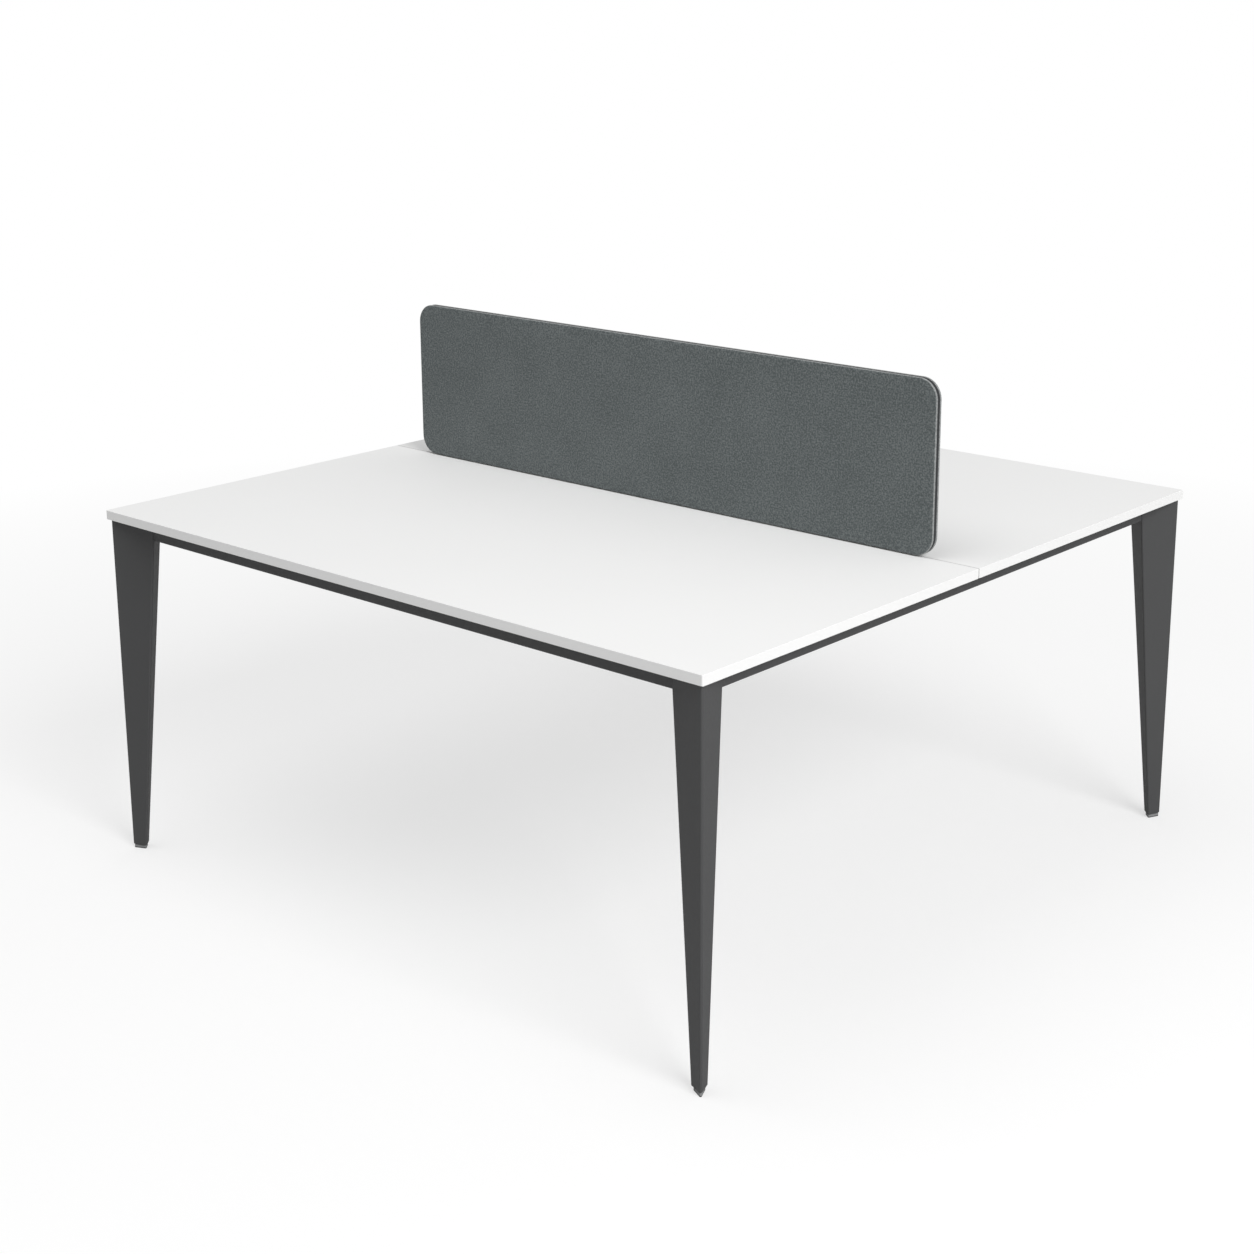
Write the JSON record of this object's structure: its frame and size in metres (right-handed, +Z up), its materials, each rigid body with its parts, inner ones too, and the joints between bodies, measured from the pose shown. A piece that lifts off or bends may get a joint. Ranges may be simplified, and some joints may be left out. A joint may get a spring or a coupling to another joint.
{
  "type": "benching desk",
  "caption": "Benching desk with white worktops meeting on a seam under a low fabric screen, on a square-tube frame with tapered three-sided folded legs and levelling feet.",
  "frame": {"origin": "on the floor under the middle of the desk, at the bottom centre of its bounding box", "axes": "+X along the seam and the screen, to the right of a person who sits at the front worktop; +Y from the front worktop to the rear one; +Z up"},
  "size_m": [1.6, 1.6, 1.0905],
  "materials": {
    "laminate_board": "white melamine-faced board, satin",
    "edge_band": "white edge band, satin",
    "painted_steel": "anthracite powder coat, fine texture",
    "zinc_steel": "zinc plated",
    "foot_plastic": "moulded, matt",
    "screen_fabric": "grey-green woven melange",
    "screen_trim": "dark edge strip, matt",
    "screen_board": "raw fibre board"
  },
  "bodies": {
    "desk": {"front_worktop": "laminate_board", "rear_worktop": "laminate_board", "front_worktop_edge_band": "edge_band", "rear_worktop_edge_band": "edge_band", "front_left_leg": "painted_steel", "front_right_leg": "painted_steel", "rear_right_leg": "painted_steel", "rear_left_leg": "painted_steel", "front_left_leg_head_plate": "painted_steel", "front_right_leg_head_plate": "painted_steel", "rear_right_leg_head_plate": "painted_steel", "rear_left_leg_head_plate": "painted_steel", "front_left_leg_end_block": "zinc_steel", "front_right_leg_end_block": "zinc_steel", "rear_right_leg_end_block": "zinc_steel", "rear_left_leg_end_block": "zinc_steel", "front_left_stub_for_front_rail": "painted_steel", "front_left_stub_for_left_rail": "painted_steel", "front_right_stub_for_right_rail": "painted_steel", "front_right_stub_for_front_rail": "painted_steel", "rear_right_stub_for_rear_rail": "painted_steel", "rear_right_stub_for_right_rail": "painted_steel", "rear_left_stub_for_left_rail": "painted_steel", "rear_left_stub_for_rear_rail": "painted_steel", "front_rail": "painted_steel", "right_rail": "painted_steel", "rear_rail": "painted_steel", "left_rail": "painted_steel", "centre_beam": "painted_steel", "centre_beam_left_end_plate": "painted_steel", "centre_beam_right_end_plate": "painted_steel", "front_rail_clip_1": "zinc_steel", "front_rail_clip_2": "zinc_steel", "right_rail_clip_1": "zinc_steel", "right_rail_clip_2": "zinc_steel", "rear_rail_clip_1": "zinc_steel", "rear_rail_clip_2": "zinc_steel", "left_rail_clip_1": "zinc_steel", "left_rail_clip_2": "zinc_steel", "centre_beam_rear_clip_1": "zinc_steel", "centre_beam_rear_clip_2": "zinc_steel", "centre_beam_front_clip_1": "zinc_steel", "centre_beam_front_clip_2": "zinc_steel", "screen_core": "screen_board", "screen_edge_trim": "screen_trim", "screen_front_pad": "screen_fabric", "screen_rear_pad": "screen_fabric", "screen_strap_1": "zinc_steel", "screen_strap_2": "zinc_steel"},
    "front_left_foot": {"front_left_foot_pad": "foot_plastic", "front_left_foot_stem": "zinc_steel"},
    "front_right_foot": {"front_right_foot_pad": "foot_plastic", "front_right_foot_stem": "zinc_steel"},
    "rear_right_foot": {"rear_right_foot_pad": "foot_plastic", "rear_right_foot_stem": "zinc_steel"},
    "rear_left_foot": {"rear_left_foot_pad": "foot_plastic", "rear_left_foot_stem": "zinc_steel"}
  },
  "joints": [
    {"name": "front_left_foot_level", "type": "slide", "parent": "desk", "child": "front_left_foot", "axis": [0, 0, -1], "range_m": [0, 0.012]},
    {"name": "front_right_foot_level", "type": "slide", "parent": "desk", "child": "front_right_foot", "axis": [0, 0, -1], "range_m": [0, 0.012]},
    {"name": "rear_right_foot_level", "type": "slide", "parent": "desk", "child": "rear_right_foot", "axis": [0, 0, -1], "range_m": [0, 0.012]},
    {"name": "rear_left_foot_level", "type": "slide", "parent": "desk", "child": "rear_left_foot", "axis": [0, 0, -1], "range_m": [0, 0.012]}
  ]
}
